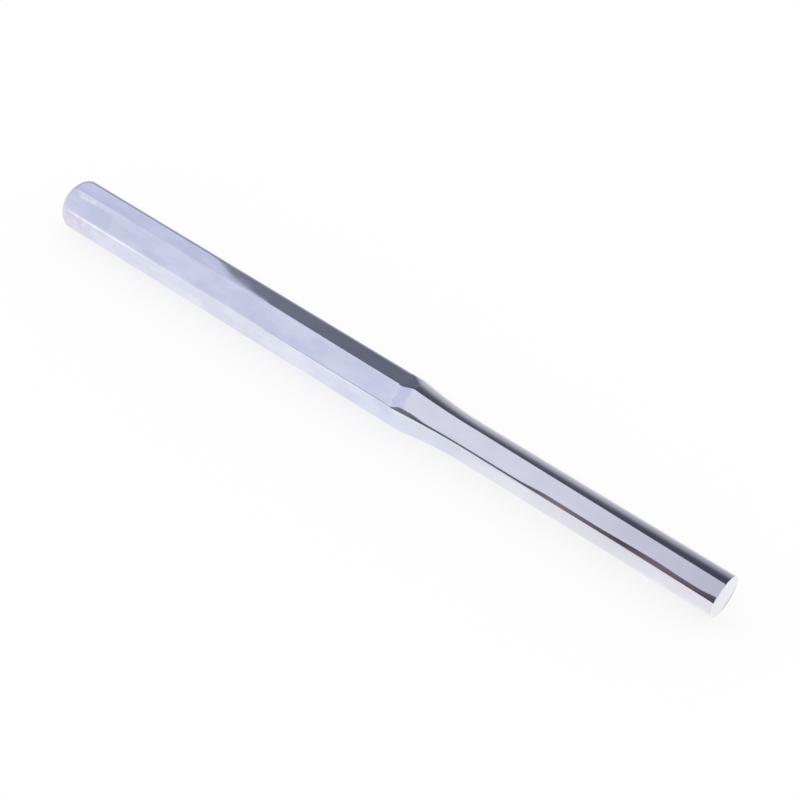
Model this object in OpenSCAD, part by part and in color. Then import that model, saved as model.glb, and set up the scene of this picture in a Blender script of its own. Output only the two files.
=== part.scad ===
// Pin punch: an octagonal bar with a crowned head, turned down through a
// swept shoulder to a straight round pin. It lies on one flat, tip towards +X,
// with the origin under the middle of its length.

/* [Head] */
// Length of the head, from the struck face to the plain bar
head_length = 6; // [4:0.5:12]
// Diameter of the flat struck face
head_face_d = 7.6; // [5:0.1:9]
// Length over which the head is crowned
head_crown_length = 2.6; // [1.8:0.1:3.6]
// Angle that the crown's arc turns through, in degrees
head_crown_turn = 50; // [10:5:70]

/* [Shank] */
// Width of the octagonal bar across its flats
shank_across_flats = 10; // [9.6:0.1:13]
// Length of the plain octagonal bar
shank_length = 75.5; // [40:0.5:120]

/* [Shoulder] */
// Length of the swept shoulder between the bar and the pin
shoulder_length = 16.2; // [10:0.1:32]
// Share of the shoulder's length that is hollow, next to the pin
shoulder_hollow_share = 0.94; // [0.5:0.02:0.96]

/* [Pin] */
// Diameter of the straight pin
pin_d = 8; // [5:0.1:9]
// Length of the straight pin, with its tip
pin_length = 52.3; // [20:0.1:80]
// Bevel that breaks the edge of the tip face
tip_break = 0.1; // [0.05:0.05:0.6]

/* [Hidden] */

// How far a cutter stands past what it cuts
overrun = 1;
// Sides of the bar
bar_sides = 8;
// Segments of a drawn circle
$fn = 192;
// Segments of the shoulder's large circles, which show only in short arcs
long_arc_segments = 1440;

chrome_satin = [0.78, 0.80, 0.88];
chrome_bright = [0.84, 0.86, 0.92];

bar_corner_r = shank_across_flats / 2 / cos(180 / bar_sides);
pin_r = pin_d / 2;
head_face_r = head_face_d / 2;
total_length = head_length + shank_length + shoulder_length + pin_length;

// Where each zone starts, along the bar from the struck face
shank_at = head_length;
shoulder_at = shank_at + shank_length;
pin_at = shoulder_at + shoulder_length;

// The shoulder is two arcs that meet at its steepest place: a convex one on
// the bar's side and a hollow one that runs out into the pin
shoulder_rise = bar_corner_r - pin_r;
shoulder_slope = 2 * atan(shoulder_rise / shoulder_length);
shoulder_arcs_r = shoulder_length / sin(shoulder_slope);
hollow_r = shoulder_arcs_r * shoulder_hollow_share;
convex_r = shoulder_arcs_r - hollow_r;
turn_at = convex_r * sin(shoulder_slope);
turn_r = bar_corner_r - convex_r * (1 - cos(shoulder_slope));

// Puts a length of the bar that is drawn upwards at its place along X
module along_bar(start) {
    translate([start - total_length / 2, 0, shank_across_flats / 2])
        rotate([0, 90, 0])
            children();
}

// A length of octagonal bar with flats on top, below and on both sides
module bar(length) {
    rotate([0, 0, 180 / bar_sides])
        cylinder(r = bar_corner_r, h = length, $fn = bar_sides);
}

// Radius of an arc that turns through an angle between two points
function arc_r(a, b, turn) = norm(b - a) / 2 / sin(turn / 2);

// Middle of that arc, which bulges away from the bar's axis
function arc_middle(a, b, turn) =
    let (inward = [a[1] - b[1], b[0] - a[0]] / 2)
    (a + b) / 2 + inward / tan(turn / 2);

// Half outline of the head: radius across, height along the bar
module head_outline() {
    face_edge = [head_face_r, 0];
    crown_edge = [bar_corner_r, head_crown_length];
    intersection() {
        square([bar_corner_r + overrun, head_length]);
        union() {
            polygon([
                [0, 0],
                face_edge,
                crown_edge,
                [bar_corner_r + overrun, head_crown_length],
                [bar_corner_r + overrun, head_length],
                [0, head_length]
            ]);
            intersection() {
                translate(arc_middle(face_edge, crown_edge, head_crown_turn))
                    circle(r = arc_r(face_edge, crown_edge, head_crown_turn));
                square([bar_corner_r, head_crown_length]);
            }
        }
    }
}

// Half outline of the shoulder: radius across, height along the bar
module shoulder_outline() {
    union() {
        intersection() {
            translate([bar_corner_r - convex_r, 0])
                circle(r = convex_r, $fn = long_arc_segments);
            square([bar_corner_r + overrun, turn_at]);
        }
        difference() {
            translate([0, turn_at])
                square([turn_r, shoulder_length - turn_at]);
            translate([pin_r + hollow_r, shoulder_length])
                circle(r = hollow_r, $fn = long_arc_segments);
        }
    }
}

// Struck end of the bar: a flat face with a turned crown that cuts the corners
module striking_head() {
    color(chrome_satin)
        along_bar(0)
            intersection() {
                bar(head_length);
                rotate_extrude()
                    head_outline();
            }
}

// Plain octagonal bar that the hand holds
module shank() {
    color(chrome_satin)
        along_bar(shank_at)
            bar(shank_length);
}

// Turned sweep from the octagon down to the pin; the flats run out in tongues
module shoulder() {
    color(chrome_bright)
        along_bar(shoulder_at)
            intersection() {
                bar(shoulder_length);
                rotate_extrude()
                    shoulder_outline();
            }
}

// Straight round pin with a flat tip
module drive_pin() {
    color(chrome_bright)
        along_bar(pin_at)
            union() {
                cylinder(r = pin_r, h = pin_length - tip_break);
                translate([0, 0, pin_length - tip_break])
                    cylinder(r1 = pin_r, r2 = pin_r - tip_break, h = tip_break);
            }
}

striking_head();
shank();
shoulder();
drive_pin();
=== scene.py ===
import math

import bmesh
import bpy
from mathutils import Matrix, Vector


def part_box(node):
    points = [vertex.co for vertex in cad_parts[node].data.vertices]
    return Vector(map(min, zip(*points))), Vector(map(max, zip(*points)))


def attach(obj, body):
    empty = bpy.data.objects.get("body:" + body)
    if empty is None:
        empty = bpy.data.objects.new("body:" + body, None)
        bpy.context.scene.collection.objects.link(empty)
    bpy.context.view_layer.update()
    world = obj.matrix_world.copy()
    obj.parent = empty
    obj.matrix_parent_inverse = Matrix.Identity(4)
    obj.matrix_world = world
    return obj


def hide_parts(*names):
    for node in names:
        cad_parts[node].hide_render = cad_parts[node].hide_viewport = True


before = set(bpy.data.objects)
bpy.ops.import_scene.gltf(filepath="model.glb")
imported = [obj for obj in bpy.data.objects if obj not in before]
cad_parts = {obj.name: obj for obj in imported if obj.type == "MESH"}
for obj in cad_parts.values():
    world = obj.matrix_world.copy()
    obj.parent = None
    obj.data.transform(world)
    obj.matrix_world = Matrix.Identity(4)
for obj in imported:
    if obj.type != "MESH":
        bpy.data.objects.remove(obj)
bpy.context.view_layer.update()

mm = 0.001

# places along the bar, from the frame
headLow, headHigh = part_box("striking_head")
shankLow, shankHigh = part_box("shank")
shoulderLow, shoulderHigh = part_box("shoulder")
pinLow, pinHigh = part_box("drive_pin")
print("frame loaded, bar of %.1f mm" % ((pinHigh.x - headLow.x) / mm))

bar = {
    "sides": 8,
    "flats": shankHigh.z - shankLow.z,
    "cornerRound": 0.45 * mm,  # radius on the bar's long corners
    "headRound": 1.0 * mm,  # they are worn rounder towards the head
    "wornFrom": headHigh.x + 14 * mm,
    "cornerSteps": 6,
    "flatSteps": 20,
    "smoothAngle": math.radians(24),  # sharper edges than this stay sharp
    "endLean": 0.2,  # faces whose normal leans this far along the bar belong to an end
}
bar["axisHeight"] = (shankHigh.z + shankLow.z) / 2
bar["cornerRadius"] = bar["flats"] / 2 / math.cos(math.pi / bar["sides"])
pinRadius = (pinHigh.z - pinLow.z) / 2


def startBar(name, x):
    # an octagonal end face with rounded corners, left selected in edit mode
    bpy.ops.object.select_all(action="DESELECT")
    middle = (x, 0, bar["axisHeight"])
    bpy.ops.mesh.primitive_circle_add(
        vertices=bar["sides"], radius=bar["cornerRadius"],
        location=middle, rotation=(0, math.pi / 2, 0))
    piece = bpy.context.object
    piece.name = name
    bpy.ops.object.transform_apply(location=True, rotation=True, scale=True)
    bpy.ops.object.mode_set(mode="EDIT")
    bpy.ops.mesh.select_all(action="SELECT")
    bpy.ops.transform.rotate(value=math.pi / bar["sides"], orient_axis="X", center_override=middle)
    setback = bar["cornerRound"] * math.tan(math.pi / bar["sides"])
    bpy.ops.mesh.bevel(offset=setback, segments=bar["cornerSteps"], affect="VERTICES")
    bpy.ops.mesh.select_mode(type="EDGE")
    mesh = bmesh.from_edit_mesh(piece.data)
    for edge in mesh.edges:
        # only the flats are this long
        edge.select_set(edge.calc_length() > bar["flats"] / bar["sides"])
    bmesh.update_edit_mesh(piece.data)
    bpy.ops.mesh.subdivide(number_cuts=bar["flatSteps"] - 1)
    bpy.ops.mesh.select_all(action="SELECT")
    bpy.ops.mesh.edge_face_add()
    bpy.ops.mesh.select_mode(type="FACE")
    pullIn(piece)
    return piece


def softMin(a, b, blend):
    overlap = max(blend - abs(a - b), 0) / blend
    return min(a, b) - overlap * overlap * blend / 4


def wornRadius(angle, x):
    # how far the octagon reaches from its axis, with the corner rounding that it has at x
    half = math.pi / bar["sides"]
    apothem = bar["flats"] / 2
    worn = min(max((bar["wornFrom"] - x) / (bar["wornFrom"] - headHigh.x), 0), 1)
    cornerRound = bar["cornerRound"] + (bar["headRound"] - bar["cornerRound"]) * worn
    fromFlat = abs((angle + half) % (2 * half) - half)
    inner = apothem - cornerRound
    if math.tan(fromFlat) * apothem < inner * math.tan(half):
        return apothem / math.cos(fromFlat)
    fromCorner = half - fromFlat
    middle = inner / math.cos(half)
    across = middle * math.sin(fromCorner)
    return middle * math.cos(fromCorner) + math.sqrt(cornerRound ** 2 - across ** 2)


def pullIn(piece, turnedRadius=None, polish=None):
    # wears the selected ring's corners, and turns down what stands proud of the radius
    mesh = bmesh.from_edit_mesh(piece.data)
    for vert in mesh.verts:
        if vert.select:
            y, z = vert.co.y, vert.co.z - bar["axisHeight"]
            radius = math.hypot(y, z)
            kept = min(radius, wornRadius(math.atan2(z, y), vert.co.x))
            if turnedRadius is not None:
                kept = softMin(kept, turnedRadius, polish)
            vert.co.y = y * kept / radius
            vert.co.z = bar["axisHeight"] + z * kept / radius
    bmesh.update_edit_mesh(piece.data)


def drawOut(piece, step, turnedRadius=None, polish=None):
    # extrudes the end face along X
    bpy.ops.mesh.extrude_region_move(TRANSFORM_OT_translate={"value": (step, 0, 0)})
    pullIn(piece, turnedRadius, polish)


def closeBar(piece, node, material):
    bpy.ops.mesh.select_all(action="SELECT")
    bpy.ops.mesh.normals_make_consistent(inside=False)
    bpy.ops.object.mode_set(mode="OBJECT")
    piece.data.materials.append(material)
    bpy.ops.object.select_all(action="DESELECT")
    piece.select_set(True)
    bpy.context.view_layer.objects.active = piece
    bpy.ops.object.shade_smooth_by_angle(angle=bar["smoothAngle"])
    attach(piece, "root")
    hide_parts(node)
    print(piece.name, len(piece.data.polygons), "faces")


def faceEnd(piece, x, edge, material):
    # gives the flat end face at x and its broken edge their own finish
    piece.data.materials.append(material)
    for face in piece.data.polygons:
        if abs(face.normal.x) > bar["endLean"] and abs(face.center.x - x) < edge:
            face.material_index = len(piece.data.materials) - 1


# shader groups that several finishes share

skinNoise = {
    "rippleDetail": 2.0,
    "grainDetail": 3.0,
    "cloudShare": 0.6,  # clouds are this much slower than the ripple
    "cloudDetail": 4.0,
    "cloudRoughness": 0.6,
    "cloudSpread": (0.35, 0.68),
    "lineDetail": 3.0,
    "wanderDetail": 2.0,
}


def newGroup(name, inputs, outputs):
    group = bpy.data.node_groups.new(name, "ShaderNodeTree")
    for socketName, socketType, value in inputs:
        socket = group.interface.new_socket(socketName, in_out="INPUT", socket_type=socketType)
        if value is not None:
            socket.default_value = value
    for socketName in outputs:
        group.interface.new_socket(socketName, in_out="OUTPUT", socket_type="NodeSocketFloat")
    return group, group.nodes.new("NodeGroupInput"), group.nodes.new("NodeGroupOutput")


def plateSkinGroup():
    # uneven forged skin under the plate: slow ripple, fine grain and cloudy patches
    group, given, out = newGroup(
        "plateSkin",
        [("Vector", "NodeSocketVector", None),
         ("Ripple", "NodeSocketFloat", 300.0),
         ("Grain", "NodeSocketFloat", 2200.0)],
        ["Ripple Height", "Grain Height", "Cloud"])
    for name, detail in (("Ripple", skinNoise["rippleDetail"]), ("Grain", skinNoise["grainDetail"])):
        noise = group.nodes.new("ShaderNodeTexNoise")
        noise.inputs["Detail"].default_value = detail
        group.links.new(given.outputs["Vector"], noise.inputs["Vector"])
        group.links.new(given.outputs[name], noise.inputs["Scale"])
        group.links.new(noise.outputs["Fac"], out.inputs[name + " Height"])
    slower = group.nodes.new("ShaderNodeMath")
    slower.operation = "MULTIPLY"
    slower.inputs[1].default_value = skinNoise["cloudShare"]
    cloud = group.nodes.new("ShaderNodeTexNoise")
    cloud.inputs["Detail"].default_value = skinNoise["cloudDetail"]
    cloud.inputs["Roughness"].default_value = skinNoise["cloudRoughness"]
    spread = group.nodes.new("ShaderNodeMapRange")
    spread.interpolation_type = "SMOOTHSTEP"
    for name, value in zip(("From Min", "From Max"), skinNoise["cloudSpread"]):
        spread.inputs[name].default_value = value
    group.links.new(given.outputs["Ripple"], slower.inputs[0])
    group.links.new(given.outputs["Vector"], cloud.inputs["Vector"])
    group.links.new(slower.outputs[0], cloud.inputs["Scale"])
    group.links.new(cloud.outputs["Fac"], spread.inputs["Value"])
    group.links.new(spread.outputs["Result"], out.inputs["Cloud"])
    return group


def polishLinesGroup():
    # fine rings left by turning and polishing round the axis
    group, given, out = newGroup(
        "polishLines",
        [("Vector", "NodeSocketVector", None),
         ("Density", "NodeSocketFloat", 9000.0),
         ("Wander", "NodeSocketFloat", 60.0)],
        ["Height"])
    squeeze = group.nodes.new("ShaderNodeCombineXYZ")
    noise = group.nodes.new("ShaderNodeTexNoise")
    noise.inputs["Scale"].default_value = 1.0
    noise.inputs["Detail"].default_value = skinNoise["lineDetail"]
    stretch = group.nodes.new("ShaderNodeVectorMath")
    stretch.operation = "MULTIPLY"
    group.links.new(given.outputs["Density"], squeeze.inputs["X"])
    group.links.new(given.outputs["Wander"], squeeze.inputs["Y"])
    group.links.new(given.outputs["Wander"], squeeze.inputs["Z"])
    group.links.new(given.outputs["Vector"], stretch.inputs[0])
    group.links.new(squeeze.outputs["Vector"], stretch.inputs[1])
    group.links.new(stretch.outputs["Vector"], noise.inputs["Vector"])
    group.links.new(noise.outputs["Fac"], out.inputs["Height"])
    return group


plateSkin = plateSkinGroup()
polishLines = polishLinesGroup()


def startMaterial(name):
    material = bpy.data.materials.new(name)
    material.use_nodes = True
    tree = material.node_tree
    shader = tree.nodes["Principled BSDF"]
    shader.inputs["Metallic"].default_value = 1.0
    coordinates = tree.nodes.new("ShaderNodeTexCoord")
    return material, tree, shader, coordinates.outputs["Object"]


def placed(tree, coordinates, location=(0, 0, 0), scale=(1, 1, 1)):
    mapping = tree.nodes.new("ShaderNodeMapping")
    mapping.inputs["Location"].default_value = location
    mapping.inputs["Scale"].default_value = scale
    tree.links.new(coordinates, mapping.inputs["Vector"])
    return mapping.outputs["Vector"]


def grouped(tree, group, vector, **values):
    node = tree.nodes.new("ShaderNodeGroup")
    node.node_tree = group
    tree.links.new(vector, node.inputs["Vector"])
    for name, value in values.items():
        node.inputs[name].default_value = value
    return node.outputs


def ranged(tree, value, low, high, start=0, end=1):
    node = tree.nodes.new("ShaderNodeMapRange")
    node.inputs["From Min"].default_value = start
    node.inputs["From Max"].default_value = end
    node.inputs["To Min"].default_value = low
    node.inputs["To Max"].default_value = high
    tree.links.new(value, node.inputs["Value"])
    return node.outputs["Result"]


def tinted(tree, mask, dark, light):
    node = tree.nodes.new("ShaderNodeMix")
    node.data_type = "RGBA"
    node.inputs["A"].default_value = (*dark, 1)
    node.inputs["B"].default_value = (*light, 1)
    tree.links.new(mask, node.inputs["Factor"])
    return node.outputs["Result"]


def bumped(tree, height, depth, normal=None):
    node = tree.nodes.new("ShaderNodeBump")
    node.inputs["Distance"].default_value = depth
    tree.links.new(height, node.inputs["Height"])
    if normal is not None:
        tree.links.new(normal, node.inputs["Normal"])
    return node.outputs["Normal"]


def mixed(tree, mask, a, b, kind="FLOAT"):
    node = tree.nodes.new("ShaderNodeMix")
    node.data_type = kind
    tree.links.new(mask, node.inputs["Factor"])
    tree.links.new(a, node.inputs["A"])
    tree.links.new(b, node.inputs["B"])
    return node.outputs["Result"]


def figured(tree, operation, a, b=None, c=None):
    # a math node whose inputs are sockets or plain numbers
    node = tree.nodes.new("ShaderNodeMath")
    node.operation = operation
    for place, value in enumerate((a, b, c)):
        if value is None:
            continue
        if isinstance(value, (int, float)):
            node.inputs[place].default_value = value
        else:
            tree.links.new(value, node.inputs[place])
    return node.outputs["Value"]


def plain(tree, colour):
    node = tree.nodes.new("ShaderNodeRGB")
    node.outputs["Color"].default_value = (*colour, 1)
    return node.outputs["Color"]


def split(tree, vector):
    node = tree.nodes.new("ShaderNodeSeparateXYZ")
    tree.links.new(vector, node.inputs["Vector"])
    return node.outputs


def wandering(tree, vector, scale, reach):
    # a slow noise of plus and minus half the reach
    noise = tree.nodes.new("ShaderNodeTexNoise")
    noise.inputs["Scale"].default_value = scale
    noise.inputs["Detail"].default_value = skinNoise["wanderDetail"]
    tree.links.new(vector, noise.inputs["Vector"])
    return figured(tree, "MULTIPLY_ADD", noise.outputs["Fac"], reach, -reach / 2)


forged = {
    "dark": (0.715, 0.738, 0.855),
    "light": (0.815, 0.835, 0.94),
    "roughness": (0.02, 0.05),
    "along": 0.4,  # the skin's pattern runs out along the bar
    "ripple": 420.0,
    "rippleDepth": 0.0008 * mm,
    "grain": 3000.0,
    "grainDepth": 0.0002 * mm,
}

# next to the head the bar's corners are worn round, and painted pale there as a highlight
wornCornerHighlight = {
    "colour": (0.94, 0.95, 1.0),
    "starts": math.radians(18),  # turned from the middle of a flat, which a corner is by 22.5 degrees
    "full": math.radians(22),
    "shift": math.radians(5),  # most of it lies on the side of the corner that faces the floor
    "wander": math.radians(18),
    "wanderScale": 900.0,
    "begins": (headLow.x + 2.6 * mm, headLow.x + 3.6 * mm),
    "fades": (headLow.x + 7 * mm, headLow.x + 14 * mm),
}

# the crown, and the head's lower sides up to a leaning border, are rosier, paler and more uneven
rosyHead = {
    "dark": (0.74, 0.73, 0.84),
    "light": (0.86, 0.84, 0.93),
    "cloud": 1100.0,
    "wander": 0.75 * mm,
    "wanderScale": 900.0,
    "crownSlope": (0.12, 0.4),  # how far the surface faces back along the bar
    "crownShare": 0.6,
    "lowerFrom": (bar["axisHeight"] + 2.2 * mm, bar["axisHeight"] + 1.9 * mm),
    "lean": -0.21,
    "end": headHigh.x + 0.1 * mm,
    "endFade": 0.4 * mm,
}

turned = {
    "barDark": (0.84, 0.85, 0.905),  # the plate is palest next to the bar and dulls towards the tip
    "barLight": (0.89, 0.90, 0.95),
    "tipDark": (0.735, 0.74, 0.79),
    "tipLight": (0.785, 0.79, 0.835),
    "endShadeDark": (0.65, 0.637, 0.723),  # and most over its last stretch, where a painted shade stands in for the darker reflection near the tip
    "endShadeLight": (0.695, 0.68, 0.764),
    "endShadeLength": 28 * mm,
    "roughness": (0.045, 0.085),
    "ripple": 160.0,
    "rippleDepth": 0.004 * mm,
    "lines": 9000.0,
    "lineWander": 70.0,
    "lineDepth": 0.0006 * mm,
}

# where the flats run out on the shoulder
tongue = {
    "dark": (0.69, 0.705, 0.85),
    "light": (0.72, 0.735, 0.88),
    "rimHighlight": (0.83, 0.845, 0.95),  # a painted highlight along the border where the polish starts
    "start": shoulderLow.x + 0.3 * mm,
    "fade": 0.45 * mm,
    "wobble": 1.8 * mm,
    "wobbleScale": 520.0,
    "lean": 0.45,  # the tongue's end leans along the bar
    "end": shoulderLow.x + 6.6 * mm,
    "endFade": 0.7 * mm,
    "upperFrom": (bar["axisHeight"] + 1.7 * mm, bar["axisHeight"] + 2.5 * mm),
    "lowerFade": 3.2 * mm,  # on the lower sides the polish comes on slowly, a blend that hides a step in their reflected light
}


def fromFlats(tree, coordinates, shift):
    # how far the surface is turned about the axis from the middle of the nearest flat
    places = split(tree, placed(tree, coordinates, location=(0, 0, -bar["axisHeight"])))
    turn = figured(tree, "ARCTAN2", places["Z"], figured(tree, "ABSOLUTE", places["Y"]))
    return figured(tree, "PINGPONG", figured(tree, "ADD", turn, shift), math.pi / bar["sides"])


# mask of the painted highlight on the worn corners near the head
def paintedCornerHighlights(tree, coordinates):
    off = wandering(tree, coordinates, wornCornerHighlight["wanderScale"], wornCornerHighlight["wander"])
    out = figured(tree, "ADD", fromFlats(tree, coordinates, wornCornerHighlight["shift"]), off)
    corners = ranged(tree, out, 0, 1, wornCornerHighlight["starts"], wornCornerHighlight["full"])
    x = split(tree, coordinates)["X"]
    begun = ranged(tree, x, 0, 1, *wornCornerHighlight["begins"])
    near = figured(tree, "MULTIPLY", begun, ranged(tree, x, 1, 0, *wornCornerHighlight["fades"]))
    return figured(tree, "MULTIPLY", corners, near)


def rosyHeadMask(tree, coordinates):
    # part of the crown, and the lower sides up to a leaning, ragged border
    facing = tree.nodes.new("ShaderNodeNewGeometry").outputs["Normal"]
    back = figured(tree, "MULTIPLY", split(tree, facing)["X"], -1)
    crown = ranged(tree, back, 0, 1, *rosyHead["crownSlope"])
    places = split(tree, coordinates)
    lower = ranged(tree, places["Z"], 0, 1, *rosyHead["lowerFrom"])
    off = wandering(tree, coordinates, rosyHead["wanderScale"], rosyHead["wander"])
    along = figured(tree, "ADD", places["X"], off)
    leaning = figured(tree, "MULTIPLY_ADD", places["Z"], rosyHead["lean"], along)
    near = ranged(tree, leaning, 1, 0, rosyHead["end"] - rosyHead["endFade"], rosyHead["end"])
    crown = figured(tree, "MULTIPLY", crown, rosyHead["crownShare"])
    return figured(tree, "MAXIMUM", crown, figured(tree, "MULTIPLY", lower, near))


def forgedSkin(tree, coordinates):
    # chrome plate over the drawn octagon: soft, faintly cloudy
    vector = placed(tree, coordinates, scale=(forged["along"], 1, 1))
    skin = grouped(tree, plateSkin, vector, Ripple=forged["ripple"], Grain=forged["grain"])
    colour = tinted(tree, skin["Cloud"], forged["dark"], forged["light"])
    # the worn corners near the head are painted pale: a painted highlight
    pale = plain(tree, wornCornerHighlight["colour"])
    colour = mixed(tree, paintedCornerHighlights(tree, coordinates), colour, pale, "RGBA")
    mottle = grouped(tree, plateSkin, placed(tree, coordinates), Ripple=rosyHead["cloud"])["Cloud"]
    rosy = tinted(tree, mottle, rosyHead["dark"], rosyHead["light"])
    colour = mixed(tree, rosyHeadMask(tree, coordinates), colour, rosy, "RGBA")
    roughness = ranged(tree, skin["Cloud"], *forged["roughness"])
    return colour, roughness, skin["Ripple Height"], skin["Grain Height"]


def upperSide(tree, coordinates):
    # 1 on the sides that face up, 0 on those that face the floor
    return ranged(tree, split(tree, coordinates)["Z"], 0, 1, *tongue["upperFrom"])


def tongueAlong(tree, coordinates):
    # place along the bar, wandering so that borders come out ragged
    off = wandering(tree, coordinates, tongue["wobbleScale"], tongue["wobble"])
    return figured(tree, "ADD", split(tree, coordinates)["X"], off)


def tongueMask(tree, coordinates):
    # the start of the polished part, where it still lies with the flats
    along = tongueAlong(tree, coordinates)
    leaning = figured(tree, "MULTIPLY_ADD", split(tree, coordinates)["Z"], tongue["lean"], along)
    near = ranged(tree, leaning, 1, 0, tongue["end"], tongue["end"] + tongue["endFade"])
    # the violet is kept to the upper sides; the lower sides are painted lighter, as they reflect a
    # darker floor
    return figured(tree, "MULTIPLY", near, upperSide(tree, coordinates))


def turnedSkin(tree, coordinates):
    # chrome plate over turned and polished steel: bright, with faint rings
    vector = placed(tree, coordinates)
    skin = grouped(tree, plateSkin, vector, Ripple=turned["ripple"])
    lines = grouped(tree, polishLines, vector, Density=turned["lines"], Wander=turned["lineWander"])
    x = split(tree, vector)["X"]
    dulled = ranged(tree, x, 0, 1, shoulderLow.x, pinHigh.x)
    dark = tinted(tree, dulled, turned["barDark"], turned["tipDark"])
    light = tinted(tree, dulled, turned["barLight"], turned["tipLight"])
    # painted shade over the pin's last stretch
    endShade = ranged(tree, x, 0, 1, pinHigh.x - turned["endShadeLength"], pinHigh.x)
    dark = mixed(tree, endShade, dark, plain(tree, turned["endShadeDark"]), "RGBA")
    light = mixed(tree, endShade, light, plain(tree, turned["endShadeLight"]), "RGBA")
    colour = mixed(tree, skin["Cloud"], dark, light, "RGBA")
    tongueColour = tinted(tree, skin["Cloud"], tongue["dark"], tongue["light"])
    colour = mixed(tree, tongueMask(tree, vector), colour, tongueColour, "RGBA")
    roughness = ranged(tree, skin["Cloud"], *turned["roughness"])
    return colour, roughness, skin["Ripple Height"], lines["Height"]


def forgedChrome():
    material, tree, shader, coordinates = startMaterial("forgedChrome")
    colour, roughness, ripple, grain = forgedSkin(tree, coordinates)
    normal = bumped(tree, ripple, forged["rippleDepth"])
    normal = bumped(tree, grain, forged["grainDepth"], normal)
    tree.links.new(colour, shader.inputs["Base Color"])
    tree.links.new(roughness, shader.inputs["Roughness"])
    tree.links.new(normal, shader.inputs["Normal"])
    return material


def turnedChrome():
    material, tree, shader, coordinates = startMaterial("turnedChrome")
    colour, roughness, ripple, lines = turnedSkin(tree, coordinates)
    normal = bumped(tree, ripple, turned["rippleDepth"])
    normal = bumped(tree, lines, turned["lineDepth"], normal)
    tree.links.new(colour, shader.inputs["Base Color"])
    tree.links.new(roughness, shader.inputs["Roughness"])
    tree.links.new(normal, shader.inputs["Normal"])
    return material


def tongueChrome():
    # the flats run out on the shoulder: past a wandering border they are polished too
    material, tree, shader, coordinates = startMaterial("tongueChrome")
    x = split(tree, coordinates)["X"]
    along = tongueAlong(tree, coordinates)
    upper = upperSide(tree, coordinates)
    above = ranged(tree, along, 0, 1, tongue["start"], tongue["start"] + tongue["fade"])
    below = ranged(tree, x, 0, 1, shoulderLow.x, shoulderLow.x + tongue["lowerFade"])
    polished = mixed(tree, upper, below, above)
    rough = figured(tree, "SUBTRACT", 1, polished)
    halfway = figured(tree, "MULTIPLY", polished, rough)  # a quarter in the middle of the border
    # painted highlight along the middle of the border, on the upper sides only
    rimHighlight = figured(tree, "MULTIPLY", figured(tree, "MULTIPLY", halfway, 4), upper)
    forgedColour, forgedRoughness, forgedRipple, grain = forgedSkin(tree, coordinates)
    smoothColour, smoothRoughness = turnedSkin(tree, coordinates)[:2]
    colour = mixed(tree, polished, forgedColour, smoothColour, "RGBA")
    colour = mixed(tree, rimHighlight, colour, plain(tree, tongue["rimHighlight"]), "RGBA")
    tree.links.new(colour, shader.inputs["Base Color"])
    roughness = mixed(tree, polished, forgedRoughness, smoothRoughness)
    tree.links.new(roughness, shader.inputs["Roughness"])
    normal = bumped(tree, figured(tree, "MULTIPLY", forgedRipple, rough), forged["rippleDepth"])
    normal = bumped(tree, figured(tree, "MULTIPLY", grain, rough), forged["grainDepth"], normal)
    tree.links.new(normal, shader.inputs["Normal"])
    return material


faced = {
    "dark": (0.81, 0.815, 0.87),
    "light": (0.84, 0.845, 0.895),
    "roughness": (0.14, 0.19),
    "cloud": 350.0,
    "ringsPerMetre": 700.0,
    "ringDistortion": 1.5,
    "ringDetail": 2.0,
    "ringDepth": 0.0004 * mm,
}


def facedChrome():
    # end faces: concentric rings from facing off in the lathe
    material, tree, shader, coordinates = startMaterial("facedChrome")
    centred = placed(tree, coordinates, location=(0, 0, -bar["axisHeight"]))
    rings = tree.nodes.new("ShaderNodeTexWave")
    rings.wave_type = "RINGS"
    rings.rings_direction = "X"
    rings.inputs["Scale"].default_value = faced["ringsPerMetre"]
    rings.inputs["Distortion"].default_value = faced["ringDistortion"]
    rings.inputs["Detail"].default_value = faced["ringDetail"]
    tree.links.new(centred, rings.inputs["Vector"])
    skin = grouped(tree, plateSkin, centred, Ripple=faced["cloud"])
    colour = tinted(tree, skin["Cloud"], faced["dark"], faced["light"])
    tree.links.new(colour, shader.inputs["Base Color"])
    tree.links.new(ranged(tree, skin["Cloud"], *faced["roughness"]), shader.inputs["Roughness"])
    tree.links.new(bumped(tree, rings.outputs["Fac"], faced["ringDepth"]), shader.inputs["Normal"])
    return material


forgedFinish = forgedChrome()
turnedFinish = turnedChrome()
tongueFinish = tongueChrome()
facedFinish = facedChrome()
print("finishes made")


# striking head: drawn out towards -X, crowned, with its face edge eased

head = {
    "faceRadius": 3.8 * mm,
    "crownLength": 2.6 * mm,
    "crownTurn": math.radians(50),
    "crownSteps": 30,
    "plainSteps": 12,
    "polish": 0.14 * mm,  # how far polishing blends the crown into the flats
    "edgeEase": 0.12 * mm,
    "edgeSteps": 4,
    "faceReach": 0.01 * mm,  # the flat face's finish stops this near its plane
}


def crownStations():
    # distance from the struck face and radius: a run-in at the crown's slope, then its arc
    rise = bar["cornerRadius"] - head["faceRadius"]
    chord = math.hypot(rise, head["crownLength"])
    arcRadius = chord / 2 / math.sin(head["crownTurn"] / 2)
    chordAngle = math.atan2(rise, head["crownLength"])  # against the bar's axis
    start = chordAngle - head["crownTurn"] / 2
    middleAlong = head["crownLength"] + arcRadius * math.sin(start)
    middleOut = bar["cornerRadius"] - arcRadius * math.cos(start)
    plainLength = headHigh.x - headLow.x - head["crownLength"]
    for step in range(1, head["plainSteps"] + 1):
        before = plainLength * (1 - step / head["plainSteps"])
        yield head["crownLength"] + before, bar["cornerRadius"] + before * math.tan(start)
    for step in range(1, head["crownSteps"] + 1):
        angle = start + head["crownTurn"] * step / head["crownSteps"]
        yield middleAlong - arcRadius * math.sin(angle), middleOut + arcRadius * math.cos(angle)


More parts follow.
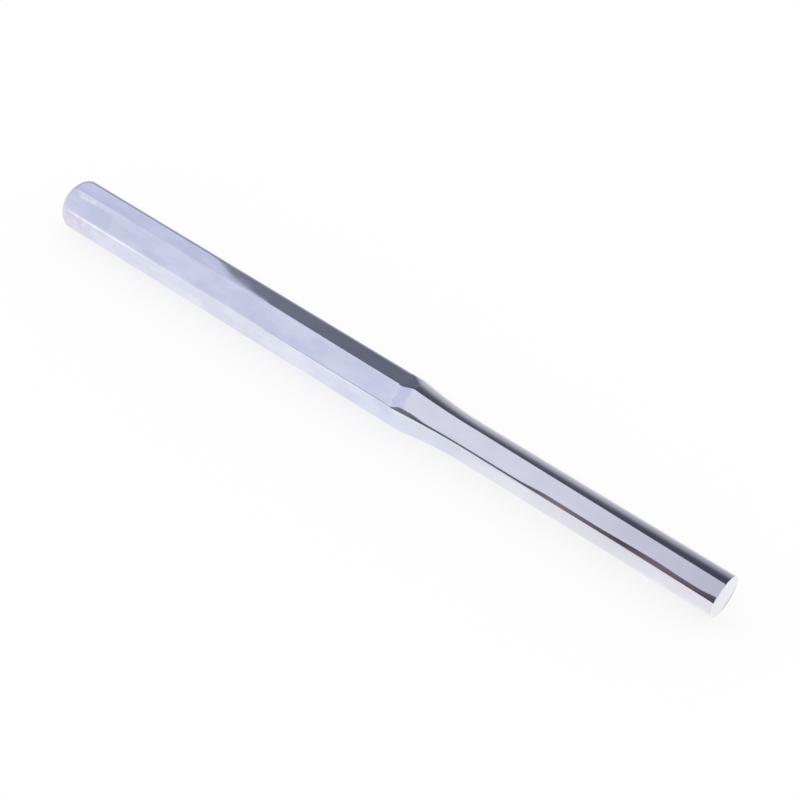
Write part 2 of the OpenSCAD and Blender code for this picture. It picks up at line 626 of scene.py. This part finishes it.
def makeHead():
    piece = startBar("strikingHead", headHigh.x)
    last = headHigh.x - headLow.x
    for fromFace, radius in crownStations():
        drawOut(piece, fromFace - last, radius, head["polish"])
        last = fromFace
    bpy.ops.mesh.bevel(offset=head["edgeEase"], segments=head["edgeSteps"], affect="EDGES")
    closeBar(piece, "striking_head", forgedFinish)
    faceEnd(piece, headLow.x, head["faceReach"], facedFinish)


# shank: the plain octagon

shank = {"steps": 24}


def makeShank():
    piece = startBar("octagonShank", shankLow.x)
    for step in range(shank["steps"]):
        drawOut(piece, (shankHigh.x - shankLow.x) / shank["steps"])
    closeBar(piece, "shank", forgedFinish)


# shoulder: two arcs take the octagon down to the pin

shoulder = {
    "hollowShare": 0.94,  # share of the length that is hollow, next to the pin
    "polish": 0.02 * mm,  # how far polishing blends the cut into the flats
    "steps": 110,
    "flatLean": 0.02,  # what is left of the flats leans less than this along the bar
    "flatReach": 0.01 * mm,  # and lies no deeper than this
}


def shoulderRadius(fromBar):
    length = shoulderHigh.x - shoulderLow.x
    rise = bar["cornerRadius"] - pinRadius
    slope = 2 * math.atan(rise / length)
    hollowRadius = length / math.sin(slope) * shoulder["hollowShare"]
    convexRadius = length / math.sin(slope) - hollowRadius
    if fromBar < convexRadius * math.sin(slope):
        return bar["cornerRadius"] - convexRadius + math.sqrt(convexRadius ** 2 - fromBar ** 2)
    return pinRadius + hollowRadius - math.sqrt(hollowRadius ** 2 - (length - fromBar) ** 2)


def keepFlats(piece, material):
    # gives what is left of the bar's flats and corners their own finish
    piece.data.materials.append(material)
    outermost = bar["flats"] / 2 - shoulder["flatReach"]
    for face in piece.data.polygons:
        outward = Vector((0, face.center.y, face.center.z - bar["axisHeight"]))
        if abs(face.normal.x) < shoulder["flatLean"] and face.normal.dot(outward) > outermost:
            face.material_index = len(piece.data.materials) - 1


def makeShoulder():
    piece = startBar("turnedShoulder", shoulderLow.x)
    step = (shoulderHigh.x - shoulderLow.x) / shoulder["steps"]
    for count in range(1, shoulder["steps"] + 1):
        drawOut(piece, step, shoulderRadius(step * count), shoulder["polish"])
    closeBar(piece, "shoulder", turnedFinish)
    keepFlats(piece, tongueFinish)


# drive pin: straight and round, with the edge of its tip broken

pin = {
    "steps": 10,
    "polish": 0.02 * mm,
    "endStep": 0.1 * mm,  # a short last step keeps the shading straight up to the bevel
    "tipBreak": 0.1 * mm,
    "breakSteps": 3,
}


def makePin():
    piece = startBar("drivePin", pinLow.x)
    pullIn(piece, pinRadius, pin["polish"])
    end = pin["endStep"] + pin["tipBreak"]
    for step in range(pin["steps"]):
        drawOut(piece, (pinHigh.x - pinLow.x - end) / pin["steps"])
    drawOut(piece, end)
    bpy.ops.mesh.bevel(offset=pin["tipBreak"], segments=pin["breakSteps"], affect="EDGES")
    closeBar(piece, "drive_pin", turnedFinish)
    faceEnd(piece, pinHigh.x, pin["tipBreak"], facedFinish)


makeHead()
makeShank()
makeShoulder()
makePin()


# camera at the photograph's place

view = {
    "azimuth": math.radians(32.925),
    "elevation": math.radians(41.555),
    "roll": math.radians(8.186),
    "distance": 373.74 * mm,
    "target": Vector((6.146 * mm, -0.302 * mm, bar["axisHeight"])),
    "lens": 93.87,  # mm, as is the sensor
    "sensor": 36,
    "clipStart": 10 * mm,
}

# level directions as the camera sees them
away = Vector((-math.sin(view["azimuth"]), math.cos(view["azimuth"]), 0))
rightHand = Vector((math.cos(view["azimuth"]), math.sin(view["azimuth"]), 0))


def makeCamera():
    back = Vector((0, 0, math.sin(view["elevation"]))) - away * math.cos(view["elevation"])
    upright = back.cross(rightHand)
    right = rightHand * math.cos(view["roll"]) + upright * math.sin(view["roll"])
    up = upright * math.cos(view["roll"]) - rightHand * math.sin(view["roll"])
    camera = bpy.data.objects.new("camera", bpy.data.cameras.new("camera"))
    bpy.context.scene.collection.objects.link(camera)
    turn = Matrix((right, up, back)).transposed().to_4x4()
    camera.matrix_world = Matrix.Translation(view["target"] + back * view["distance"]) @ turn
    camera.data.sensor_width = view["sensor"]
    camera.data.lens = view["lens"]
    camera.data.clip_start = view["clipStart"]
    bpy.context.scene.camera = camera


makeCamera()
print("camera placed")


# studio: a white floor in white surroundings, with panels that only the metal sees

studio = {
    "floorSize": 12.0,
    "floorDrop": 0.02 * mm,
    "floorGlow": 0.75,  # share of the floor that shows as plain white, the rest takes the shadow
    "floorColour": (0.93, 0.93, 0.93),
    "floorRoughness": 0.9,
    "fillColour": (0.99, 0.99, 1),
    "fillStrength": 1.08,
    "roofHeight": 0.2,
    # corners in roof heights: the roof's back edge from left to right, then round the front
    "roofCorners": [
        (-12, 1.5), (-1.08, 0.985), (-0.955, 0.927), (-0.925, 0.914), (-0.84, 0.905),
        (-0.331, 0.469), (4, -2.04), (4, -12), (-6.3, -12), (-0.95, -1.3), (-12, -1.3)],
    "roofShades": ("X", -0.16, 0.03, [
        (0.0, (0.745, 0.76, 0.865)), (0.4, (0.77, 0.785, 0.885)), (1.0, (0.725, 0.725, 0.82))]),
    "rearCorners": [
        (-12, 0.6), (-0.55, 0.6), (-0.84, 0.901), (-0.925, 0.91), (-0.955, 0.922),
        (-1.08, 0.98), (-12, 1.5)],
    "rearColour": (0.66, 0.68, 0.82),
    "lampCorners": [(-1.15, -0.5), (-0.95, -0.5), (-0.95, 0.5), (-1.15, 0.5)],
    "lampColour": (0.86, 0.87, 0.96),
    "frontGlowCorners": [(-12, -1.3), (-0.95, -1.3), (-6.3, -12), (-12, -12)],
    "frontGlowColour": (0.80, 0.81, 0.90),
    "panelDrop": 1 * mm,  # a panel that lies against the roof hangs this far below it
    "leftColour": (0.78, 0.785, 0.87),
    "wallDistance": 1.0,
    "wallHeight": 2.5,
    "wallWidth": 7.0,
    "wallShades": ("Z", 0, 1.5, [
        (0.0, (0.60, 0.61, 0.66)), (0.24, (0.46, 0.47, 0.52)),
        (0.62, (0.13, 0.135, 0.17)), (0.92, (0.08, 0.085, 0.115))]),
    "ceilingColour": (0.08, 0.085, 0.115),
    # the floor away from the punch, as the metal sees it: a painted shade that darkens with distance
    "backFloorShades": ("Y", 0.025, 1.0, [
        (0.0, (0.97, 0.97, 0.98)), (0.006, (0.95, 0.95, 0.96)), (0.0154, (0.80, 0.80, 0.83)),
        (0.23, (0.64, 0.645, 0.69)), (1.0, (0.60, 0.61, 0.66))]),
    # painted shadow on the floor beside and behind the head, as the metal sees it
    "leftFloorShades": ("X", -0.06, -1.0, [
        (0.0, (0.97, 0.97, 0.98)), (0.011, (0.91, 0.905, 0.95)), (0.022, (0.84, 0.84, 0.90)),
        (0.2, (0.74, 0.745, 0.84)), (1.0, (0.72, 0.725, 0.82))]),
    # painted shade on the floor in front of the shoulder, and painted light towards the tip, as the
    # metal sees it
    "pinFloorShades": ("X", -0.015, 0.08, [
        (0.0, (0.97, 0.97, 0.98)), (0.19, (0.86, 0.88, 0.94)), (0.24, (0.79, 0.82, 0.90)),
        (0.34, (0.79, 0.82, 0.90)), (0.42, (0.91, 0.90, 0.93)), (0.66, (0.93, 0.925, 0.95)),
        (0.95, (1.17, 1.18, 1.16))]),
    "pinFloor": (-0.0023, -0.15),  # where this panel starts and ends in front of the punch
    # a lit patch of floor in front of the head
    "litFloorShades": ("X", -0.0865, -0.056, [
        (0.0, (0.84, 0.84, 0.90)), (0.3, (1.3, 1.3, 1.34)), (0.64, (1.3, 1.3, 1.34)),
        (1.0, (0.97, 0.97, 0.98))]),
    "litFloor": (-0.0135, -0.03),
    "floorPanelHeight": 0.05 * mm,
    # dark things in front: their outline from left to right, and the nearest one's foot
    "frontAt": -0.15,
    "frontTop": [
        (-0.10, 0.012), (-0.07, 0.022), (-0.0185, 0.025), (-0.0135, 0.052), (0.004, 0.046),
        (0.012, 0.060), (0.020, 0.065), (0.026, 0.050), (0.033, 0.048), (0.036, 0.078),
        (0.0385, 0.082), (0.0395, 0.11), (0.043, 0.11)],
    "frontFoot": [(-0.047, -0.150), (0.068, -0.035), (0.068, -0.150)],
    "frontShades": ("X", -0.03, 0.043, [
        (0.0, (0.15, 0.12, 0.145)), (0.1, (0.15, 0.125, 0.15)), (0.17, (0.09, 0.085, 0.108)),
        (0.22, (0.15, 0.13, 0.155)), (0.3, (0.25, 0.207, 0.24)), (0.56, (0.095, 0.08, 0.098)),
        (0.7, (0.23, 0.175, 0.20)), (0.85, (0.20, 0.15, 0.175)), (0.97, (0.09, 0.07, 0.095))]),
}


def seenBackground(tree):
    # 1 for the rays that show the surroundings as plain white
    light = tree.nodes.new("ShaderNodeLightPath").outputs
    seen = figured(tree, "MAXIMUM", light["Is Camera Ray"], light["Is Glossy Ray"])
    return figured(tree, "MAXIMUM", seen, light["Is Transmission Ray"])


def makeWorld():
    world = bpy.data.worlds.new("studio")
    bpy.context.scene.world = world
    world.use_nodes = True
    tree = world.node_tree
    tree.nodes.clear()
    fill = tree.nodes.new("ShaderNodeBackground")
    fill.inputs["Color"].default_value = (*studio["fillColour"], 1)
    fill.inputs["Strength"].default_value = studio["fillStrength"]
    white = tree.nodes.new("ShaderNodeBackground")
    white.inputs["Color"].default_value = (1, 1, 1, 1)
    mix = tree.nodes.new("ShaderNodeMixShader")
    out = tree.nodes.new("ShaderNodeOutputWorld")
    tree.links.new(seenBackground(tree), mix.inputs["Fac"])
    tree.links.new(fill.outputs["Background"], mix.inputs[1])
    tree.links.new(white.outputs["Background"], mix.inputs[2])
    tree.links.new(mix.outputs["Shader"], out.inputs["Surface"])


def makeFloor():
    bpy.ops.object.select_all(action="DESELECT")
    bpy.ops.mesh.primitive_plane_add(size=studio["floorSize"], location=(0, 0, -studio["floorDrop"]))
    floor = bpy.context.object
    floor.name = "floor"
    material = bpy.data.materials.new("paleFloor")
    material.use_nodes = True
    tree = material.node_tree
    shader = tree.nodes["Principled BSDF"]
    shader.inputs["Base Color"].default_value = (*studio["floorColour"], 1)
    shader.inputs["Roughness"].default_value = studio["floorRoughness"]
    shader.inputs["Specular IOR Level"].default_value = 0.0
    glow = tree.nodes.new("ShaderNodeEmission")
    mix = tree.nodes.new("ShaderNodeMixShader")
    share = figured(tree, "MULTIPLY", seenBackground(tree), studio["floorGlow"])
    tree.links.new(share, mix.inputs["Fac"])
    tree.links.new(shader.outputs["BSDF"], mix.inputs[1])
    tree.links.new(glow.outputs["Emission"], mix.inputs[2])
    tree.links.new(mix.outputs["Shader"], tree.nodes["Material Output"].inputs["Surface"])
    floor.data.materials.append(material)


def panelMaterial(name, colour=None, shades=None):
    # a plain glow, or one that changes along an axis
    material = bpy.data.materials.new(name)
    material.use_nodes = True
    tree = material.node_tree
    tree.nodes.clear()
    glow = tree.nodes.new("ShaderNodeEmission")
    out = tree.nodes.new("ShaderNodeOutputMaterial")
    tree.links.new(glow.outputs["Emission"], out.inputs["Surface"])
    if shades is None:
        glow.inputs["Color"].default_value = (*colour, 1)
        return material
    axis, low, high, stops = shades
    coordinates = tree.nodes.new("ShaderNodeTexCoord").outputs["Object"]
    share = ranged(tree, split(tree, coordinates)[axis], 0, 1, low, high)
    ramp = tree.nodes.new("ShaderNodeValToRGB")
    elements = ramp.color_ramp.elements
    while len(elements) < len(stops):
        elements.new(0.5)
    for element, (place, shade) in zip(elements, stops):
        element.position = place
        element.color = (*shade, 1)
    tree.links.new(share, ramp.inputs["Fac"])
    tree.links.new(ramp.outputs["Color"], glow.inputs["Color"])
    return material


def makePanel(name, corners, material):
    # a flat panel through its corners, seen only as a reflection
    bpy.ops.object.select_all(action="DESELECT")
    bpy.ops.mesh.primitive_circle_add(vertices=len(corners), fill_type="NGON")
    panel = bpy.context.object
    panel.name = name
    for vert, corner in zip(panel.data.vertices, corners):
        vert.co = corner
    panel.data.update()
    panel.data.materials.append(material)
    panel.visible_camera = False
    panel.visible_diffuse = False
    panel.visible_shadow = False
    panel.visible_transmission = False


def lifted(corners, height):
    return [Vector((x, y, height)) for x, y in corners]


def makeRoof():
    high = studio["roofHeight"]
    roof = [corner * high for corner in lifted(studio["roofCorners"], 1)]
    makePanel("softRoof", roof, panelMaterial("softRoof", shades=studio["roofShades"]))
    hang = Vector((0, 0, studio["panelDrop"]))
    for name in ("rear", "lamp", "frontGlow"):
        corners = [corner * high - hang for corner in lifted(studio[name + "Corners"], 1)]
        makePanel(name, corners, panelMaterial(name, studio[name + "Colour"]))
    backLeft, frontLeft = roof[0], roof[-1]
    drop = Vector((0, 0, high))
    wall = [frontLeft - drop, backLeft - drop, backLeft, frontLeft]
    makePanel("leftWall", wall, panelMaterial("leftWall", studio["leftColour"]))


def makeWalls():
    shaded = panelMaterial("shadedWall", shades=studio["wallShades"])
    top = Vector((0, 0, studio["wallHeight"]))
    wide = studio["wallWidth"]
    for name, out, along in (("backWall", away, rightHand), ("rightWall", rightHand, -away)):
        middle = out * studio["wallDistance"]
        left, right = middle - along * wide / 2, middle + along * wide / 2
        makePanel(name, [left, right, right + top, left + top], shaded)
    square = ((-wide, -wide), (wide, -wide), (wide, wide), (-wide, wide))
    ceiling = lifted(square, studio["wallHeight"])
    makePanel("ceiling", ceiling, panelMaterial("ceiling", studio["ceilingColour"]))


def inFront(name):
    # a floor panel's corners, from its shades' ends and where it starts and ends in front
    start, end = studio[name + "Shades"][1:3]
    front, reach = studio[name]
    return (start, front), (end, front), (end, reach), (start, reach)


def makeFloorPanels():
    low = studio["floorPanelHeight"]
    half = studio["wallWidth"] / 2
    front = studio["pinFloor"][0]
    near, far = studio["backFloorShades"][1:3]
    start, end = studio["leftFloorShades"][1:3]
    behind = ((-half, near), (half, near), (half, far), (-half, far))
    beside = (
        (start, -half), (start, front), (headLow.x, front),
        (headLow.x, near), (end, near), (end, -half))
    for name, corners, height in (
            ("backFloor", behind, low), ("leftFloor", beside, low),
            ("pinFloor", inFront("pinFloor"), low), ("litFloor", inFront("litFloor"), low * 2)):
        shades = studio[name + "Shades"]
        makePanel(name, lifted(corners, height), panelMaterial(name, shades=shades))


def makeFrontThings():
    dark = panelMaterial("frontThings", shades=studio["frontShades"])
    outline = [Vector((x, studio["frontAt"], z)) for x, z in studio["frontTop"]]
    feet = [Vector((corner.x, studio["frontAt"], 0)) for corner in (outline[-1], outline[0])]
    makePanel("frontThings", outline + feet, dark)
    makePanel("frontFoot", lifted(studio["frontFoot"], studio["floorPanelHeight"] * 2), dark)


makeWorld()
makeFloor()
makeRoof()
makeWalls()
makeFloorPanels()
makeFrontThings()
bpy.context.scene.view_settings.view_transform = "Standard"
print("studio set")
